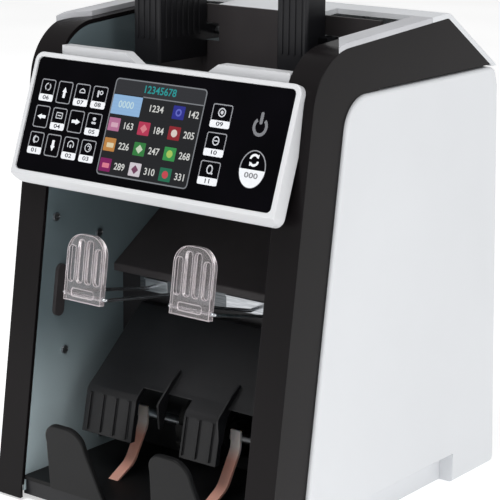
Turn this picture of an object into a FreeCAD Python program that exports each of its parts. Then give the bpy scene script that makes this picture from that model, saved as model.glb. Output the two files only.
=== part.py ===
import FreeCAD, Part
import math
import os

# Banknote counting machine with a top hopper, a reject pocket and a stacker pocket.
# Millimetres. +X to the operator's right, -Y to the operator, +Z up.
# The origin is the middle of the whole machine's footprint, on the desk.

V = FreeCAD.Vector
X_AXIS = V(1, 0, 0)

# ---- driving dimensions -------------------------------------------------------------------
case_width = 260.0          # over the black cheeks
case_depth = 303.4          # front foot line to rear foot line
case_height = 354.3         # top plane, at the front foot line
cheek = 25.0                # each hollow cheek, from the pocket wall to the outside
front_rake = 8.12           # degrees that the front leans back
rear_rake = 3.32            # degrees that the rear leans forward
top_rise = 3.79             # degrees that the top climbs to the rear
rear_slope = 33.0           # degrees that the top falls behind its ridge
ridge_setback = 88.8        # rear foot line to the ridge
front_corner_r = 45.0
trim_band = 39.0            # black band in front of the white side cover
cover_top = case_height - 28.3   # top edge of the white side cover
cover_corner_r = 26.0
cover_proud = 3.0           # white cover stands out from the black band
wall = 3.0                  # moulded walls
skin = 2.5                  # outer skin of the black trim
plate = 1.5                 # steel side plates
seam = 0.4                  # gap between neighbouring covers
gap = 0.3                   # gap between separate pieces
running = 0.05              # radial clearance of every shaft and pin
ledge = 4.0                 # thickness of the raised top cover

# base
foot_r = 9.0
foot_h = 4.3
foot_inset = 32.0           # foot centre from the foot lines
foot_x = 88.0
tray_t = 3.0
grip_h = 25.0               # hand recess under each side
grip_d = 12.0
rear_block = 64.0           # length of the foot block behind the hand recess

# display panel
panel_tilt = 19.7
panel_w = 235.9
panel_h = 84.8
panel_low_d = 15.8          # bottom edge of the glass, from the front foot line
panel_low_z = case_height - 99.1
panel_t = 2.0
bezel = 4.0
bezel_low = 8.5             # the bezel's lower band, chamfered to face downwards
chin_start = 3.5
chin_depth = 7.0
bezel_lip = 1.2             # the bezel stands this far over the glass
housing_t = 12.0
screen_w = 83.8
screen_h = 70.3
screen_mid_x = 1.5
screen_low = 6.2
apron_d = 53.6              # front face of the hopper apron, from the front foot line
apron_t = 9.0
apron_top = case_height - 10.3
apron_low = apron_top - 13.0
apron_notch_w = 74.0
apron_notch_h = 8.0

# hopper
hopper_back_d = 163.0
pickup_ahead = 37.0         # pickup shaft in front of the hopper back
floor_front_d = 63.0
floor_front_drop = 24.0     # below the top plane
floor_rear_drop = 52.0
guide_inner = 54.0          # inside face of each guide from the middle
guide_wing = 26.0
guide_front_d = 105.6
guide_top = case_height + 69.7
guide_t = 3.0
guide_rib = 0.8
rod_r = 3.0
guide_rod_back = 12.0       # guide rod behind the hopper back
guide_rod_drop = 18.0

# pockets
ramp_front_d = 109.6
ramp_front_z = 166.0
ramp_angle = 31.8
ramp_length = 84.0
gate_back = 73.0            # gate shaft behind the ramp's front edge
gate_z = 226.0
gate_shaft_r = 2.0
gate_pitch = 26.0
sensor_d = 186.0
sensor_upper_z = 250.0
sensor_lower_z = 130.0
bar_d = 116.6
bar_z = 154.0
bar_h = 12.0
bar_t = 8.0
bar_half = 80.0
block_half = 80.0
block_gap = 24.0            # half width of the wheels' slot in the pocket back
hood_gap_left = -31.0       # the hood's front is open between these two
hood_gap_right = 16.0
hood_right_end = 50.0       # and beyond this one, beside the right strip
hood_rib_pitch = 12.7
hood_rib_first = 37.0
hood_fin_t = 1.6
hood_face_d = 43.5          # foot of the ribbed face, behind the front foot line
hood_face_z = 51.0
hood_nose_d = 50.5
hood_nose_z = 84.5
paddle_mid = 50.0
paddle_w = 35.5
paddle_h = 50.0
paddle_t = 5.0
paddle_reach = 12.0         # paddle face in front of the raked front
paddle_low_z = 167.5
paddle_skew = 3.5           # the right stop sits this far above the middle height, the left below
paddle_pin_z = 5.0          # pivot above the paddle's foot
paddle_wall = 2.2           # ribs between the channels
paddle_lean = 8.0
wire_r = 1.4
wire_half = 14.0            # half the distance between a wire's ends in the cross bar
tongue_mid = 50.0
tongue_reach = 12.5         # tongue tips in front of the front foot line
tongue_top = 76.0
tongue_t = 4.5
tongue_w = 38.0
tongue_spread = 8.0
strip_mid = 45.0
strip_w = 9.0
wheel_mid = 14.0
wheel_r = 25.0
fin_r = 13.0                # curve of the wheels' fins
fin_t = 1.4
fin_count = 10

# drive
pulley_r = 10.0
belt_t = 1.5
pulley_w = 9.0
shaft_r = 4.0
roller_r = 13.0
motor_r = 22.0
motor_len = 62.0
motor_flange_t = 3.0
pulley_off = 5.0            # pulleys stand this far off the left side plate
shaft_end = 4.0             # shafts pass the right side plate by this
hub_t = 3.0                 # tyre thickness over its hub
wide_rollers = (-60, 0, 60)
wide_roller_w = 22.0
pickup_rollers = (-30, 30)
pickup_roller_w = 14.0

# rear
door_low_z = 118.0
door_t = 4.0
door_pin_r = 1.25
rear_inset = 3.0
inlet_w = 27.0
inlet_h = 20.0
switch_w = 13.0
switch_h = 19.0
port_w = 14.0
port_h = 9.0

# pocket wall fittings and electrics
screw_spots = ((44, 215), (51, 109), (92, 194), (92, 30))   # behind the front foot line, height
wall_cover_d = 43.0
wall_cover_z = 138.0
board_low = 128.0
board_high = 250.0
supply_x = (-30.0, 70.0)
supply_depth = 62.0
supply_h = 34.0

# ---- derived places -----------------------------------------------------------------------
front = -case_depth / 2
rear = case_depth / 2
half = case_width / 2
inner = half - cheek                   # pocket wall, each side
outer = half + cover_proud             # outside of the white covers
frame_out = inner + plate
pulley_x = -frame_out - pulley_off - pulley_w   # outer face of every belt pulley
rake = math.tan(math.radians(front_rake))
lean = math.tan(math.radians(rear_rake))
rise = math.tan(math.radians(top_rise))
fall = math.tan(math.radians(rear_slope))


def front_at(z):
    return front + rake * z


def rear_at(z):
    return rear - lean * z


def top_at(y):
    return case_height + rise * (y - front)


ridge_y = rear - ridge_setback
ridge_z = top_at(ridge_y)
# the front corner and the rear corner are where the outline's straight lines cross
front_corner_z = case_height / (1 - rise * rake)
front_corner_y = front_at(front_corner_z)
rear_corner_y = (rear - lean * (ridge_z + fall * ridge_y)) / (1 - lean * fall)
rear_corner_z = ridge_z - fall * (rear_corner_y - ridge_y)


# ---- helpers ------------------------------------------------------------------------------
def outline(corners, x=0.0):
    """Closed wire in the YZ plane from (y, z, corner radius) with tangent arcs."""
    edges = []
    starts = []
    ends = []
    for i, (y, z, r) in enumerate(corners):
        here = V(x, y, z)
        back = V(x, *corners[i - 1][:2]) - here
        ahead = V(x, *corners[(i + 1) % len(corners)][:2]) - here
        back.normalize()
        ahead.normalize()
        if r == 0:
            starts.append(here)
            ends.append(here)
            continue
        half_turn = back.getAngle(ahead) / 2
        run = r / math.tan(half_turn)
        bisector = back + ahead
        bisector.normalize()
        a = here + back * run
        b = here + ahead * run
        middle = here + bisector * (r / math.sin(half_turn) - r)
        edges.append(Part.Arc(a, middle, b).toShape())
        starts.append(a)
        ends.append(b)
    for i in range(len(corners)):
        a = ends[i]
        b = starts[(i + 1) % len(corners)]
        if a.distanceToPoint(b) > 1e-6:
            edges.append(Part.makeLine(a, b))
    return Part.Wire(Part.sortEdges(edges)[0])


def slab(wire, x0, x1):
    """Solid between two X places from a YZ wire drawn at X = 0."""
    solid = Part.Face(wire).extrude(V(x1 - x0, 0, 0))
    solid.translate(V(x0, 0, 0))
    return solid


def grown(wire, amount):
    return wire.makeOffset2D(amount, 2)


def box(x0, x1, y0, y1, z0, z1):
    return Part.makeBox(x1 - x0, y1 - y0, z1 - z0, V(x0, y0, z0))


def rod(r, x0, x1, y, z):
    return Part.makeCylinder(r, x1 - x0, V(x0, y, z), X_AXIS)


def mirrored(shape, side):
    return shape if side > 0 else shape.mirror(V(0, 0, 0), X_AXIS)


def turned(shape, degrees, y, z):
    turned_shape = shape.copy()
    turned_shape.rotate(V(0, y, z), X_AXIS, degrees)
    return turned_shape


def joined(first, *others):
    return first.fuse(list(others)).removeSplitter()


def softened(shape, r, chosen):
    """Fillet the edges that a test picks."""
    return shape.makeFillet(r, [e for e in shape.Edges if chosen(e)])


def save(name, shape, shift_y):
    placed = shape.copy()
    placed.translate(V(0, shift_y, 0))
    solids = placed.Solids
    if not solids or not placed.isValid():
        raise ValueError("bad shape: " + name)
    placed = solids[0] if len(solids) == 1 else Part.makeCompound(solids)
    placed.exportStep("parts/" + name + ".step")


# ---- outlines -----------------------------------------------------------------------------
def case_outline():
    low = 2.0
    return outline([(front_at(low), low, 0), (front_corner_y, front_corner_z, front_corner_r),
                    (ridge_y, ridge_z, 6), (rear_corner_y, rear_corner_z, 6), (rear_at(low), low, 0)])


def cover_front(z):
    return front_at(z) + trim_band


def cover_outline():
    """The white side cover, seen from the side."""
    low = 1.0
    slope_y = ridge_y + (ridge_z - cover_top) / fall
    return outline([(cover_front(low), low, 0), (cover_front(cover_top), cover_top, cover_corner_r),
                    (slope_y, cover_top, 8), (rear_at(cover_top - 14), cover_top - 14, 8),
                    (rear_at(low), low, 5)])


def raised_ring():
    """The space between the case outline and the same outline raised by the top ledge."""
    low = Part.Face(case_outline())
    high = Part.Face(grown(case_outline(), ledge))
    return high.cut(low)


# ---- drive places -------------------------------------------------------------------------
def shaft_places():
    """Y and Z of each shaft that the belt turns; the belt runs straight between neighbours."""
    pickup = (front + hopper_back_d - pickup_ahead, case_height - 44.8)
    upper = (front + 214, case_height - 84)
    motor = (front + 218, 72.0)
    stacker = (front + 104, 52.0)
    return {"pickup": pickup, "upper": upper, "motor": motor, "stacker": stacker,
            "feed": tuple((a + b) / 2 for a, b in zip(pickup, upper)),
            "lower": tuple((a + b) / 2 for a, b in zip(upper, motor))}


places = shaft_places()
gate_y = front + ramp_front_d + gate_back
guide_rod_y = front + hopper_back_d + guide_rod_back
guide_rod_z = top_at(guide_rod_y) - guide_rod_drop
door_y = rear_at(door_low_z) - rear_inset - door_t / 2
board_y = rear_at(270) - 30            # front face of the main board


# ---- case ---------------------------------------------------------------------------------
def side_frame(side):
    """Steel side plate that carries every shaft and cross piece."""
    body = slab(grown(case_outline(), -(wall + seam)), inner, frame_out)
    body = body.cut(box(inner - 1, frame_out + 1, front - 1, rear + 1, 0, foot_h + tray_t))
    ends = [places[n] for n in ("pickup", "feed", "upper", "lower", "stacker")]
    holes = [rod(shaft_r + running, inner - 1, frame_out + 1, y, z) for y, z in ends]
    holes.append(rod(rod_r + running, inner - 1, frame_out + 1, guide_rod_y, guide_rod_z))
    holes.append(rod(gate_shaft_r + running, inner - 1, frame_out + 1, gate_y, gate_z))
    if side < 0:
        y, z = places["motor"]
        holes.append(rod(shaft_r + 2, inner - 1, frame_out + 1, y, z))
    return mirrored(body.cut(holes), side)


def side_trim(side):
    """Black cheek: front column, top band and the skin around the white cover."""
    band = Part.Face(case_outline()).cut(Part.Face(grown(cover_outline(), seam)))
    band_solid = band.extrude(V(half - inner, 0, 0))
    band_solid.translate(V(inner, 0, 0))
    core = slab(grown(case_outline(), -wall), inner - 1, half - skin)
    open_foot = box(inner - 1, half - skin, front_at(0) + wall, rear, -5, 12)
    body = band_solid.cut([core, open_foot])
    low_rear = box(inner - 1, half + 1, cover_front(cover_top) + 40, rear + 20, -5, cover_top + 1.5)
    body = body.cut([low_rear, box(inner - 1, half + 1, 0, rear + 20, -5, 60)])
    solid = max(body.Solids, key=lambda s: s.Volume)
    return mirrored(solid, side)


def side_cover(side):
    """White side cover: a shallow box, open towards the frame, with a hand recess below."""
    full = slab(cover_outline(), frame_out + gap, outer)
    hollow = slab(grown(cover_outline(), -wall), frame_out, outer - wall)
    body = full.cut(hollow)
    grip_rear = rear - rear_block
    backing = box(outer - grip_d - wall, outer - 1, cover_front(0) + 8, grip_rear + wall, 1, grip_h + wall)
    backing = backing.common(full)
    recess = box(outer - grip_d, outer + 5, front, grip_rear, -5, grip_h)
    body = joined(body, backing).cut(recess)
    trim_pocket = box(frame_out, half - skin + seam + 1, front, rear, cover_top + 2, 400)
    body = body.cut(trim_pocket)
    rim = outer - 1e-3
    return mirrored(softened(body, 2.4, lambda e: e.BoundBox.XMin > rim and e.BoundBox.ZMax > grip_h + 1
                             and e.Length > 6), side)


def top_strip(side):
    """Pale strip along the cheek's top, cut at an angle at its front end."""
    body = raised_ring().extrude(V(cheek - 9, 0, 0))
    body.translate(V(half - cheek + 9, 0, 0))
    start = front + 73
    cutter = Part.Face(Part.makePolygon([V(inner, front - 20, 250), V(half + 1, front - 20, 250),
                                         V(half + 1, start, 250), V(inner + 9, start + 24, 250),
                                         V(inner, start + 24, 250), V(inner, front - 20, 250)]))
    rest = box(inner, half + 1, front + 192.5 - seam, rear + 30, -50, 500)
    body = body.cut([cutter.extrude(V(0, 0, 250)), rest, box(inner, half + 1, front - 50, rear, -50, 300)])
    return mirrored(max(body.Solids, key=lambda s: s.Volume), side)


def top_cover():
    """White cover over the transport, with a tongue that reaches forward to the hopper back."""
    front_edge = front + 192.5
    body = raised_ring().extrude(V(case_width, 0, 0))
    body.translate(V(-half, 0, 0))
    body = body.cut([box(-half - 1, half + 1, front - 50, front_edge, -50, 500),
                     box(-half - 1, half + 1, 0, rear + 50, -50, rear_corner_z + 3)])
    reach = front + hopper_back_d + wall + gap
    lip = slab(outline([(reach, top_at(reach), 0), (reach, top_at(reach) + ledge, 1.5),
                        (front_edge + 1, top_at(front_edge + 1) + ledge, 0),
                        (front_edge + 1, top_at(front_edge + 1), 0)]), -46, 46)
    return joined(max(body.Solids, key=lambda s: s.Volume), lip)


def base_tray():
    """Floor plate that the side frames stand on, with a turned-up front edge."""
    body = box(-frame_out, frame_out, front + 6, rear - 6, foot_h, foot_h + tray_t)
    sill = box(-inner + 1, inner - 1, front + 6, front + 9, foot_h, 16)
    return joined(body, sill)


def rubber_foot(side, end):
    y = end * (case_depth / 2 - foot_inset)
    return Part.makeCone(foot_r - 1.5, foot_r, foot_h, V(side * foot_x, y, 0))


# ---- rear ---------------------------------------------------------------------------------
def rear_sheet(z0, z1, t):
    """Sheet that follows the raked rear, between the side frames."""
    def y(z):
        return rear_at(z) - rear_inset
    return slab(outline([(y(z0) - t, z0, 0), (y(z0), z0, 0), (y(z1), z1, 0), (y(z1) - t, z1, 0)]),
                -inner + gap, inner - gap)


inlet_x = -62.0
switch_x = -30.0
port_x = 20.0
rear_parts_z = 58.0


def rear_panel():
    body = rear_sheet(foot_h + tray_t, door_low_z - door_t / 2 - gap, wall)
    y = rear_at(rear_parts_z)
    holes = []
    for x, w, h in ((inlet_x, inlet_w, inlet_h), (switch_x, switch_w, switch_h), (port_x, port_w, port_h)):
        holes.append(box(x - w / 2, x + w / 2, y - 20, y + 20, rear_parts_z - h / 2, rear_parts_z + h / 2))
    for i in range(9):
        x = 45 + 6 * i
        holes.append(box(x, x + 2.5, y - 20, y + 20, rear_parts_z - 18, rear_parts_z + 18))
    return body.cut(holes)


def rear_door():
    """Door over the note path, hinged along its rounded lower edge."""
    top = rear_corner_z - 6
    body = rear_sheet(door_low_z, top, door_t)
    body = joined(body, rod(door_t / 2, -inner + gap, inner - gap, door_y, door_low_z))
    notches = []
    for s in (-1, 1):
        x = s * (inner - 4)
        notches.append(box(x - 4 - gap, x + 5, door_y - 6, door_y + 6, door_low_z - 8, door_low_z + 8))
    pins = rod(door_pin_r, -inner + 1, inner - 1, door_y, door_low_z)
    return joined(body.cut(notches), pins)


def door_hinge(side):
    """Block on the side plate that holds one end of the door's pin."""
    low = door_low_z - door_t / 2
    body = box(inner - 7, inner, door_y - 9, door_y + 3.5, low, low + 8)
    body = body.cut(rod(door_pin_r + running, inner - 8, inner - 0.5, door_y, door_low_z))
    return mirrored(body, side)


def rear_place(shape):
    """Stand a fitting, drawn around Y = 0 facing +Y, on the raked rear panel."""
    y = rear_at(rear_parts_z) - rear_inset
    placed = shape.copy()
    placed.rotate(V(0, 0, rear_parts_z), X_AXIS, rear_rake)
    placed.translate(V(0, y, 0))
    return placed


def power_inlet():
    w = inlet_w / 2 - gap
    h = inlet_h / 2 - gap
    x = inlet_x
    z = rear_parts_z
    body = joined(box(x - w, x + w, -22, 1, z - h, z + h),
                  box(x - w - 2, x + w + 2, 0.6, 2.4, z - h - 2, z + h + 2))
    body = body.cut(box(x - 11.5, x + 11.5, -16, 5, z - 7.5, z + 7.5))
    pins = [box(x + dx - 1, x + dx + 1, -18, -4, z + dz - 2, z + dz + 2)
            for dx, dz in ((-7, -1.5), (7, -1.5), (0, 2))]
    return rear_place(joined(body, *pins))


def switch_frame():
    w = switch_w / 2 - gap
    h = switch_h / 2 - gap
    body = joined(box(switch_x - w, switch_x + w, -18, 1, rear_parts_z - h, rear_parts_z + h),
                  box(switch_x - w - 1.5, switch_x + w + 1.5, 0.6, 2.2,
                      rear_parts_z - h - 1.5, rear_parts_z + h + 1.5))
    body = body.cut(box(switch_x - w + 1.3, switch_x + w - 1.3, -8, 5,
                        rear_parts_z - h + 1.3, rear_parts_z + h - 1.3))
    return rear_place(body.cut(rod(1 + running, switch_x - w + 0.4, switch_x + w - 0.4, -1.5, rear_parts_z)))


def switch_rocker():
    """Rocker that tips about its middle pin; drawn in its off position."""
    w = switch_w / 2 - gap - 1.3 - gap
    h = switch_h / 2 - gap - 1.3 - 0.8
    z = rear_parts_z
    profile = [(-3.5, z - 3, 0), (3.2, z - h, 0.8), (1.6, z, 0), (3.2, z + h, 0.8), (-3.5, z + 3, 0)]
    body = slab(outline(profile), switch_x - w, switch_x + w)
    body.rotate(V(0, -1.5, z), X_AXIS, 9)
    pins = rod(1, switch_x - w - 0.7, switch_x + w + 0.7, -1.5, z)
    return rear_place(joined(body, pins))


def service_port():
    w = port_w / 2 - gap
    h = port_h / 2 - gap
    body = box(port_x - w, port_x + w, -12, 0.8, rear_parts_z - h, rear_parts_z + h)
    return rear_place(body.cut(box(port_x - w + 0.8, port_x + w - 0.8, -10, 5,
                                   rear_parts_z - h + 0.8, rear_parts_z + h - 0.8)))


# ---- display ------------------------------------------------------------------------------
def on_panel(shape):
    """Move a shape drawn flat in XZ, face towards -Y at Y = 0, onto the tilted panel."""
    placed = shape.copy()
    placed.rotate(V(0, 0, 0), X_AXIS, -panel_tilt)
    placed.translate(V(0, front + panel_low_d, panel_low_z))
    return placed


def rounded_plate(x0, x1, y0, y1, z0, z1, r):
    body = box(x0, x1, y0, y1, z0, z1)
    return softened(body, r, lambda e: abs(e.BoundBox.YLength - (y1 - y0)) < 1e-6)


def display_housing():
    """White moulding that frames the glass and closes the front above the pockets."""
    w = panel_w / 2 + bezel
    body = rounded_plate(-w, w, -bezel_lip, housing_t, -bezel_low, panel_h + bezel, 7)
    chin = slab(outline([(-bezel_lip - 1, -chin_start + 0.6, 0), (chin_depth, -bezel_low - 0.1, 0),
                         (-bezel_lip - 1, -bezel_low - 0.1, 0)]), -w - 1, w + 1)
    body = body.cut(chin)
    body = softened(body, 1.1, lambda e: e.BoundBox.YMax < -bezel_lip + 1e-3)
    seat = rounded_plate(-panel_w / 2 - gap, panel_w / 2 + gap, -5, panel_t, -gap, panel_h + gap, 4)
    cavity = box(-w + 4, w - 4, panel_t + 2, housing_t + 1, -1, panel_h + bezel - 4)
    posts = [Part.makeCylinder(3, 4, V(x, panel_t + 1.5, z), V(0, 1, 0))
             for x in (-90, 90) for z in (14, panel_h - 14)]
    body = on_panel(joined(body.cut([seat, cavity]), *posts))
    cheeks = slab(grown(case_outline(), gap), -w - 2, w + 2)
    return max(body.cut(cheeks).Solids, key=lambda s: s.Volume)


def display_back():
    """White box behind the bezel that reaches between the cheeks and holds the board."""
    low = panel_low_z - 12
    y = front_at(low)
    shell = outline([(y - 10, low, 2), (y + 36, low, 2), (y + 42, low + 22, 2),
                     (apron_y() - 1, apron_low, 0), (front_at(apron_low) + 1, apron_low, 0),
                     (front_at(low + 8), low + 8, 0)])
    body = slab(shell, -inner + gap, inner - gap)
    tilted = on_panel(box(-half, half, -60, housing_t + gap, -60, panel_h + 60))
    hollow = slab(grown(shell, -wall), -inner + gap + wall, inner - gap - wall)
    return max(body.cut([hollow, tilted]).Solids, key=lambda s: s.Volume)


def panel_glass():
    body = rounded_plate(-panel_w / 2, panel_w / 2, 0, panel_t - 0.2, 0, panel_h, 3.7)
    window = box(screen_mid_x - screen_w / 2, screen_mid_x + screen_w / 2, -1, panel_t + 1,
                 screen_low, screen_low + screen_h)
    return on_panel(body.cut(window))


def display_screen():
    w = screen_w / 2 - 0.1
    return on_panel(box(screen_mid_x - w, screen_mid_x + w, 0.1, panel_t - 0.2,
                        screen_low + 0.1, screen_low + screen_h - 0.1))


def display_board():
    body = box(-96, 96, panel_t + 5.5, panel_t + 7.1, 8, panel_h - 8)
    chips = [box(-70 + 34 * i, -54 + 34 * i, panel_t + 4, panel_t + 5.5, 24, 38) for i in range(5)]
    return on_panel(joined(body, *chips))


def apron_y():
    return front + apron_d


def hopper_apron():
    """White lip at the hopper's mouth, low in the middle so that fingers reach the notes."""
    w = inner - gap
    low = apron_top - apron_notch_h
    n = apron_notch_w / 2
    points = [V(-w, 0, apron_low), V(-w, 0, apron_top), V(-n - 6, 0, apron_top), V(-n + 6, 0, low),
              V(n - 6, 0, low), V(n + 6, 0, apron_top), V(w, 0, apron_top), V(w, 0, apron_low)]
    body = Part.Face(Part.makePolygon(points + points[:1])).extrude(V(0, apron_t, 0))
    body = softened(body, 3, lambda e: abs(e.BoundBox.YLength - apron_t) < 1e-6
                    and abs(e.BoundBox.XMin) < w - 1)
    body.translate(V(0, apron_y(), 0))
    return body


# ---- hopper -------------------------------------------------------------------------------
def floor_line(y):
    """Height of the hopper floor's upper face."""
    y0 = front + floor_front_d
    y1 = front + hopper_back_d
    z0 = top_at(y0) - floor_front_drop
    z1 = top_at(y1) - floor_rear_drop
    return z0 + (z1 - z0) * (y - y0) / (y1 - y0)


def hopper_floor():
    y0 = front + floor_front_d
    y1 = front + hopper_back_d - gap
    body = slab(outline([(y0, floor_line(y0) - 14, 0), (y0, floor_line(y0), 4), (y1, floor_line(y1), 0),
                         (y1, floor_line(y1) - wall, 0), (y0 + wall, floor_line(y0 + wall) - wall, 0),
                         (y0 + wall, floor_line(y0) - 14, 0)]), -inner + gap, inner - gap)
    y, z = places["pickup"]
    slot = pickup_roller_w / 2 + 2
    reach = roller_r + 3
    slots = [box(x - slot, x + slot, y - reach, y + reach, z - 30, z + 60) for x in pickup_rollers]
    return body.cut(slots)


def hopper_back():
    """Back wall of the hopper, slotted for the guides' carriages."""
    y = front + hopper_back_d
    low = floor_line(y) - 8
    body = box(-inner + gap, inner - gap, y, y + wall, low, top_at(y) + ledge)
    z = guide_rod_z
    slots = []
    for s in (-1, 1):
        x = s * (guide_inner + 18)
        slots.append(box(x - 29, x + 29, y - 1, y + wall + 1, z - 7, z + 7))
    return body.cut(slots)


def hopper_guide(side):
    """Tall ribbed guide: a wall along the notes, a wing at its front and a carriage on the rod."""
    y0 = front + guide_front_d
    y1 = front + hopper_back_d - 1.5
    x0 = guide_inner
    z0 = floor_line(y0) + 4
    along = box(x0, x0 + guide_t, y0, y1, z0, guide_top)
    wing = box(x0, x0 + guide_wing, y0, y0 + guide_t, z0, guide_top)
    body = joined(along, wing)
    body = softened(body, 2.5, lambda e: e.BoundBox.ZLength > 50 and abs(e.BoundBox.YMin - y0) < 1e-6)
    ribs = []
    for i in range(7):
        y = y0 + 7 + 6.5 * i
        ribs.append(box(x0 - guide_rib, x0 + 0.5, y, y + 2, z0 + 18, guide_top - 8))
    for i in range(4):
        x = x0 + 4 + 5.5 * i
        ribs.append(box(x, x + 2, y0 - guide_rib, y0 + 0.5, z0 + 18, guide_top - 8))
    neck = box(x0, x0 + 11, y1 - 8, guide_rod_y + 6, guide_rod_z - 6, guide_rod_z + 6)
    body = joined(body, neck, *ribs)
    return mirrored(body.cut(rod(rod_r + running, x0 - 5, x0 + 20, guide_rod_y, guide_rod_z)), side)


def guide_rod():
    return rod(rod_r, -frame_out, frame_out, guide_rod_y, guide_rod_z)


# ---- rollers and drive --------------------------------------------------------------------
def pulley(y, z):
    return rod(pulley_r, pulley_x, pulley_x + pulley_w, y, z)


def driven_shaft(name, tyres, r, width):
    """Steel shaft with tyres on hubs and its belt pulley at the left end."""
    y, z = places[name]
    body = rod(shaft_r, pulley_x, frame_out + shaft_end, y, z)
    hubs = [pulley(y, z)]
    hubs += [rod(r - hub_t, x - width / 2, x + width / 2, y, z) for x in tyres]
    return joined(body, *hubs)


def tyres(name, mids, r, width):
    y, z = places[name]
    rings = [rod(r, x - width / 2, x + width / 2, y, z).cut(rod(r - hub_t, x - width, x + width, y, z))
             for x in mids]
    return Part.makeCompound(rings)


def stacker_wheels():
    """Soft wheels whose curved fins lay each note down."""
    y, z = places["stacker"]
    wheels = []
    for x in (-wheel_mid, wheel_mid):
        hub = rod(10, x - 5, x + 5, y, z).cut(rod(shaft_r, x - 6, x + 6, y, z))
        fins = []
        for i in range(fin_count):
            ring_z = z + wheel_r - fin_r - 1
            ring = rod(fin_r, x - 4, x + 4, y, ring_z).cut(rod(fin_r - fin_t, x - 5, x + 5, y, ring_z))
            fin = ring.common(box(x - 5, x + 5, y - 30, y, z - 30, z + 60)).cut(rod(9, x - 6, x + 6, y, z))
            fins.append(turned(max(fin.Solids, key=lambda s: s.Volume), 360 / fin_count * i, y, z))
        wheels.append(joined(hub, *fins))
    return Part.makeCompound(wheels)


def stacker_shaft():
    y, z = places["stacker"]
    return joined(rod(shaft_r, pulley_x, frame_out + shaft_end, y, z), pulley(y, z))


def main_motor():
    """Motor can on the left side plate, with a round mounting flange."""
    y, z = places["motor"]
    can = rod(motor_r, -inner + motor_flange_t, -inner + motor_flange_t + motor_len, y, z)
    flange = rod(motor_r + 2, -inner, -inner + motor_flange_t, y, z)
    bore = rod(shaft_r + running, -inner - 1, -inner + 20, y, z)
    return joined(can, flange).cut(bore)


def motor_pulley():
    y, z = places["motor"]
    return joined(rod(shaft_r, pulley_x, -inner + 19, y, z), pulley(y, z))


def drive_belt():
    names = ("pickup", "upper", "motor", "stacker")
    loop = Part.makePolygon([V(0, *places[n]) for n in names + names[:1]])
    low = Part.Face(loop.makeOffset2D(pulley_r + 0.2, 0))
    high = Part.Face(loop.makeOffset2D(pulley_r + 0.2 + belt_t, 0))
    body = high.cut(low).extrude(V(pulley_w - 3, 0, 0))
    body.translate(V(pulley_x + 1.5, 0, 0))
    return body


def sensor_bar(d, z, angle):
    """Closed optical head across the note path."""
    y = front + d
    body = box(-inner + gap, inner - gap, y - 7, y + 7, z - 9, z + 9)
    return turned(softened(body, 2, lambda e: e.BoundBox.XLength > 100), angle, y, z)


def gate():
    """Finger plate that sends a note to the reject pocket or down to the stacker."""
    shaft = rod(gate_shaft_r, -frame_out, frame_out, gate_y, gate_z)
    fingers = []
    for i in range(7):
        x = gate_pitch * (i - 3)
        profile = outline([(gate_y - 3, gate_z - 3, 0), (gate_y + 3, gate_z - 3, 0),
                           (gate_y + 3, gate_z + 3, 0), (gate_y - 2, gate_z + 18, 0)])
        fingers.append(slab(profile, x - 6, x + 6))
    return joined(shaft, *fingers)


# ---- pockets ------------------------------------------------------------------------------
def reject_ramp():
    """Sloping floor of the reject pocket, with a turned-down front lip."""
    a = math.radians(ramp_angle)
    y0 = front + ramp_front_d
    y1 = y0 + ramp_length * math.cos(a)
    z1 = ramp_front_z + ramp_length * math.sin(a)
    low = bar_z + bar_h / 2 + gap
    body = outline([(y0, low, 0), (y0, ramp_front_z, 2), (y1, z1, 0), (y1, z1 - wall, 0),
                    (y0 + wall, ramp_front_z - wall * 0.6, 0), (y0 + wall, low, 0)])
    return slab(body, -inner + gap, inner - gap)


def cross_bar():
    y = front + bar_d
    body = box(-bar_half, bar_half, y - bar_t / 2, y + bar_t / 2, bar_z - bar_h / 2, bar_z + bar_h / 2)
    start = y - bar_t / 2 - 1
    holes = [Part.makeCylinder(wire_r, bar_t + 2, V(s * paddle_mid + w, start, bar_z), V(0, 1, 0))
             for s in (-1, 1) for w in (-wire_half, wire_half)]
    return body.cut(holes)


def pocket_back():
    """Steel back plate of the stacker pocket, between the side plates."""
    y = front + bar_d + bar_t / 2
    sheet = box(-inner, inner, y, y + plate, foot_h + tray_t, bar_z + 4)
    return sheet.cut(rod(wheel_r + 3, -block_gap, block_gap, *places["stacker"]))


def block_profile():
    """Outside of the stacker cover: sloping roof, rounded nose and ribbed face."""
    top_y = front + bar_d - bar_t / 2 + 1
    seat_y = front + bar_d + bar_t / 2 - gap
    return [(seat_y, 138, 0), (top_y, 138, 2), (front + 62, 93.5, 5),
            (front + hood_nose_d, hood_nose_z, 9), (front + hood_face_d, hood_face_z, 0)]


def fin_outline():
    """Thin fin over the front edge of the stacker cover's roof."""
    return outline([(front + 48, 66, 1), (front + 46.5, 86, 4), (front + 62, 99.5, 4), (front + 74, 107, 1),
                    (front + 74, 101, 0), (front + 58, 86, 3), (front + 52, 66, 1)])


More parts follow.
